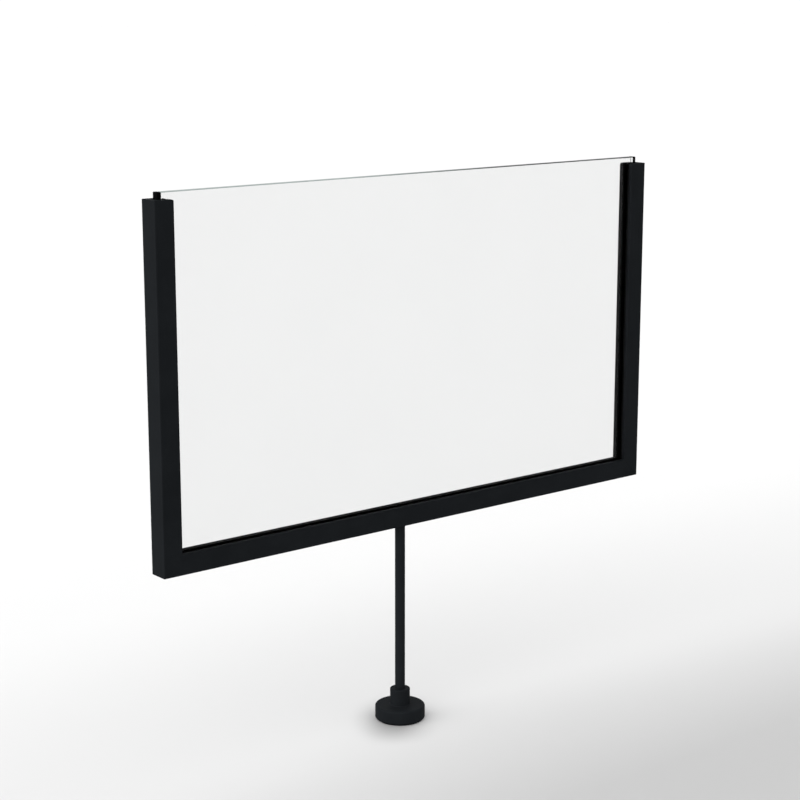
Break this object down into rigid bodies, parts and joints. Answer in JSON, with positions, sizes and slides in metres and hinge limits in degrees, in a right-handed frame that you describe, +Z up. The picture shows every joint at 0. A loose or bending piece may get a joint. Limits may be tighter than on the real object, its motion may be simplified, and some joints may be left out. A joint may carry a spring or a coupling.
{
  "type": "sneeze guard",
  "caption": "Counter-top sneeze guard: a glass pane slides into a black three-sided frame, open at the top, on one round post with a clamped foot flange.",
  "frame": {"origin": "centre of the foot's underside, on the post's axis", "axes": "+Z up along the post, +X along the screen, -Y the front, towards the guests"},
  "size_m": [0.6, 0.05, 0.5463],
  "materials": {
    "powder_coat": "satin black powder coat",
    "pane_glass": "clear toughened glass, ground edges",
    "black_rubber": "matt black rubber",
    "zinc_steel": "zinc plated",
    "black_steel": "blackened steel"
  },
  "bodies": {
    "foot": {"foot_flange": "powder_coat", "foot_pad": "black_rubber"},
    "clamp": {"clamp_screw": "black_steel"},
    "screen": {"post": "powder_coat", "post_screw": "zinc_steel", "bottom_rail": "powder_coat", "left_stile": "powder_coat", "right_stile": "powder_coat", "left_corner_key": "zinc_steel", "right_corner_key": "zinc_steel", "left_key_screw_rail": "zinc_steel", "left_key_screw_stile": "zinc_steel", "right_key_screw_rail": "zinc_steel", "right_key_screw_stile": "zinc_steel", "left_setting_block": "black_rubber", "right_setting_block": "black_rubber", "left_front_gasket": "black_rubber", "left_rear_gasket": "black_rubber", "bottom_front_gasket": "black_rubber", "bottom_rear_gasket": "black_rubber", "right_front_gasket": "black_rubber", "right_rear_gasket": "black_rubber"},
    "pane": {"glass_pane": "pane_glass", "left_edge_trim": "black_rubber", "right_edge_trim": "black_rubber"}
  },
  "joints": [
    {"name": "post_swivel", "type": "hinge", "parent": "foot", "child": "screen", "pos_m": [0, 0, 0.1], "axis": [0, 0, 1], "continuous": true},
    {"name": "pane_lift", "type": "slide", "parent": "screen", "child": "pane", "axis": [0, 0, 1], "range_m": [0, 0.34]},
    {"name": "clamp_screw_turn", "type": "hinge", "parent": "foot", "child": "clamp", "pos_m": [0, 0, 0.0235], "axis": [0, 1, 0], "range_deg": [0, 360]}
  ]
}
